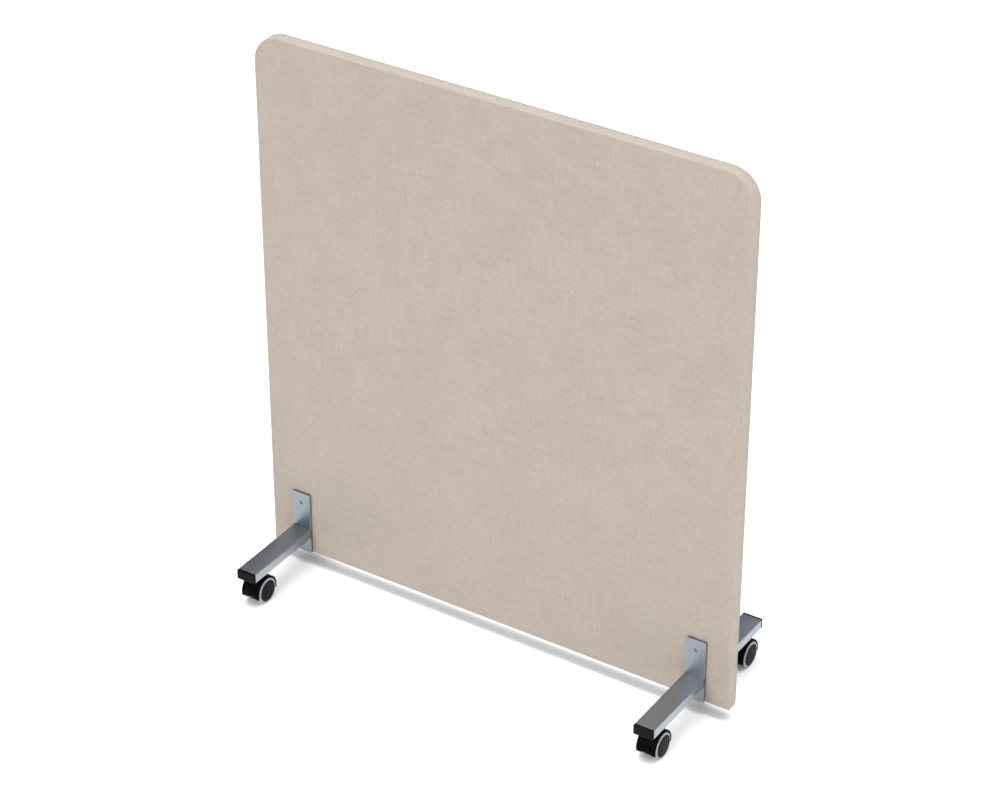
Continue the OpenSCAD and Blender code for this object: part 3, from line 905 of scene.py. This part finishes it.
def add_hood_shell(shape, half, axle, out):
    """The shell over both wheels. Its lower edge is level, but for the arch on the closed side,
    and out says which way that side faces along Y."""
    steps, rounding = 72, 3
    profile = hood_profile(half)
    centre_r = (HOOD_IN + HOOD_OUT) / 2
    rings = []
    for k in range(-rounding, steps + rounding + 1):
        ring = []
        for x, r in profile:
            rise = -HOOD_DROP
            if abs(x) < ARCH_HALF:
                rise += ARCH_RISE * (1 - (x / ARCH_HALF) ** 2)
            start = math.asin(-HOOD_DROP / r)
            stop = math.pi - math.asin(rise / r)
            if 0 <= k <= steps:
                angle = start + (stop - start) * k / steps
            else:
                # past the ends the section shrinks to its middle, as a round lip
                over = (-k if k < 0 else k - steps) / rounding
                shrink = HOOD_LIP * (1 - math.sqrt(max(0.0, 1 - over ** 2)))
                turned = HOOD_LIP * over / r
                r += (centre_r - r) * min(1.0, shrink / (centre_r - HOOD_IN))
                angle = start - turned if k < 0 else stop + turned
            # angle 0 points away from the closed side
            ring.append((axle.x + x, axle.y - out * r * math.cos(angle),
                         axle.z + r * math.sin(angle)))
        rings.append(ring)
    shape.loft(rings)


def add_hood_web(shape, axle):
    """The web between the wheels, cut level with the shell's lower edge."""
    reach = HOOD_IN + 0.4 * MM
    first = math.asin(-HOOD_DROP / reach)
    outline = [(reach * math.cos(t), reach * math.sin(t))
               for t in np.linspace(first, math.pi - first, 49)]
    turn = math.asin(HOOD_DROP / WEB_BOSS)
    outline += [(WEB_BOSS * math.cos(t), WEB_BOSS * math.sin(t))
                for t in np.linspace(math.pi + turn, 2 * math.pi - turn, 9)]
    inner = []
    for a, b in outline:
        share = 1 - WEB_SOFT / math.hypot(a, b)
        inner.append((a * share, b * share))
    layers = [(-WEB_HALF, inner), (-WEB_HALF + WEB_SOFT, outline),
              (WEB_HALF - WEB_SOFT, outline), (WEB_HALF, inner)]
    shape.loft([[(axle.x + x, axle.y + a, axle.z + b) for a, b in loop] for x, loop in layers])


def add_hood_neck(shape, stem, top):
    """The socket that holds the stem, and the neck that flares into the shell."""
    centre, upright = (stem.x, stem.y, 0), (0, 0, 1)
    shape.lathe([(SOCKET_LOW, 0.0), (SOCKET_LOW, SOCKET_R - 0.8 * MM),
                 (SOCKET_LOW + 0.8 * MM, SOCKET_R), (SOCKET_TOP, SOCKET_R), (SOCKET_TOP, 0.0)],
                centre, upright, 48)
    flare = [(top - 10.6 * MM, 14.5 * MM), (top - 9.4 * MM, 13.1 * MM),
             (top - 7.6 * MM, 12.2 * MM), (top - 1.0 * MM, 12.0 * MM),
             (top - 0.3 * MM, 11.7 * MM), (top, 11.0 * MM), (top, 5.2 * MM),
             (top - 1.0 * MM, 5.1 * MM), (top - 10.6 * MM, 5.1 * MM)]
    shape.lathe(flare + flare[:1], centre, upright, 48)


def build_hood(corner):
    """Shell over both wheels with its web, stem socket and neck, as one moulding."""
    low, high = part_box(corner + "_hood")
    axle = middle(corner + "_axle")
    shape = Shape()
    add_hood_shell(shape, (high.x - low.x) / 2, axle, side_of(corner))
    add_hood_web(shape, axle)
    add_hood_neck(shape, stem_place(corner), high.z)
    new_piece(corner + "_caster_hood", shape.points, shape.faces, HOOD_BLACK,
              corner + "_caster", [corner + "_hood"], 35.0)


def stem_place(corner):
    """Where a caster's stem stands, from the swivel joint."""
    joint = next(j for j in frame["joints"] if j["name"] == corner + "_swivel")
    return Vector(joint["pos_m"])


def x_reach(node, axle):
    """The nearest and farthest distance of a node from the middle of the axle, along it."""
    low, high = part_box(node)
    return sorted((abs(low.x - axle.x), abs(high.x - axle.x)))


def wheel_radius(node):
    """Half the height of a round node that stands upright."""
    low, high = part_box(node)
    return (high.z - low.z) / 2


def wheel_profile(near, far, root, tip, hub):
    """Section of the cup with its bore and domed disc, as (along the axle, radius)."""
    step = far + DISC_STEP
    rim = hub + DISC_OVER
    flat = rim - 1.2 * MM                      # where the dome begins
    dome_rise = tip - step - 0.5 * MM
    profile = [(step + 0.5 * MM + dome_rise * (1 - (r / flat) ** 2), r)
               for r in np.linspace(0, flat, 14)]
    # the disc's rim
    profile += [(step + 0.35 * MM, rim - 0.7 * MM), (step, rim - 0.15 * MM),
                (step - 0.5 * MM, rim), (far + 0.05 * MM, rim - 0.2 * MM),
                (far + 0.05 * MM, hub - 0.2 * MM)]
    # the seat of the tread, and the cup inside it
    cup = hub - CUP_WALL
    profile += [(far - 0.8 * MM, hub), (near + 0.4 * MM, hub), (near, hub - 0.4 * MM),
                (near, cup + 0.4 * MM), (near + 0.4 * MM, cup),
                (far - 6.0 * MM, cup), (far - 5.0 * MM, cup - 1.0 * MM)]
    # the hub and its bore
    profile += [(far - 5.0 * MM, HUB_R + 1.0 * MM), (far - 6.0 * MM, HUB_R),
                (root + 0.5 * MM, HUB_R), (root, HUB_R - 0.5 * MM), (root, BORE_R + 0.35 * MM),
                (root + 0.35 * MM, BORE_R), (far - 1.5 * MM, BORE_R), (far - 1.5 * MM, 0.0)]
    return profile


def tread_profile(near, far, hub, radius):
    """Section of the tread with round shoulders, closed on itself."""
    soft = TREAD_SOFT
    section = [(far - 0.3 * MM, hub), (far, hub + 0.3 * MM)]
    section += arc(far - soft, radius - soft, soft, 0, 90, 6)
    section += [(x, radius) for x in np.linspace(far - soft, near + soft, 5)[1:-1]]
    section += arc(near + soft, radius - soft, soft, 90, 180, 6)
    section += [(near, hub + 0.3 * MM), (near + 0.3 * MM, hub)]
    return section + section[:1]


def build_wheel(corner, wheel):
    """Cup-shaped wheel with a proud domed disc, and its grey tread."""
    name = f"{corner}_{wheel}"
    body = f"{name}_roller"
    axle = middle(corner + "_axle")
    outward = (math.copysign(1.0, middle(name + "_tread").x - axle.x), 0, 0)
    near, far = x_reach(name + "_tread", axle)
    root, tip = x_reach(name + "_wheel", axle)
    hub = wheel_radius(name + "_wheel")
    shape = Shape()
    shape.lathe(wheel_profile(near, far, root, tip, hub), axle, outward, 96)
    new_piece(name + "_hub", shape.points, shape.faces, WHEEL_BLACK, body,
              [name + "_wheel"], 35.0)
    shape = Shape()
    shape.lathe(tread_profile(near, far, hub, wheel_radius(name + "_tread")), axle, outward, 96)
    new_piece(name + "_tyre", shape.points, shape.faces, TREAD, body,
              [name + "_tread"], 35.0)


# ---------- hidden CAD pieces ----------

def give(node, material):
    """Put one material on a CAD node."""
    slots = frame["nodes"][node].data.materials
    slots.clear()
    slots.append(material)


def dress_hidden_pieces():
    """Materials for the CAD pieces that show as they are, if the wall is taken apart."""
    board = fibre_material("hardboard", (0.20, 0.12, 0.06), (0.34, 0.22, 0.12), 400.0)
    wadding = fibre_material("wadding", (0.14, 0.14, 0.13), (0.32, 0.32, 0.30), 220.0)
    upright = wood_material("softwood_upright", (0.46, 0.30, 0.15), (0.66, 0.48, 0.28), 2)
    lying = wood_material("softwood_lying", (0.46, 0.30, 0.15), (0.66, 0.48, 0.28), 0)
    for node in frame["nodes"]:
        if node.startswith("facing_board"):
            give(node, board)
        elif node.startswith("acoustic_pad"):
            give(node, wadding)
        elif node.startswith(("frame_stile", "foot_block")):
            give(node, upright)
        elif node.startswith("frame_"):
            give(node, lying)
        elif node.endswith("_axle") or node in ("caster_nuts", "caster_stems", "stem_clips"):
            give(node, ZINC)


# ---------- the model ----------

make_camera()
make_floor()
make_world()
make_lights()
dress_hidden_pieces()
build_cover("woven_cover_front", "cover_front", -1, PANEL_LOW.y, PANEL_HIGH.y, EDGE_R)
build_cover("woven_cover_back", "cover_back", 1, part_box("cover_back")[1].y,
            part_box("cover_back")[0].y, BACK_EDGE_R)
build_closing_tape()
build_screw_heads("foot_bolts", "bolt_heads", -1)
build_screw_heads("foot_sleeve_nuts", "sleeve_nut_heads", 1)
for corner in CORNERS:
    build_plate(corner)
    build_tube(corner)
    build_weld(corner)
    build_end_cap(corner)
    build_hood(corner)
    for wheel in WHEELS:
        build_wheel(corner, wheel)
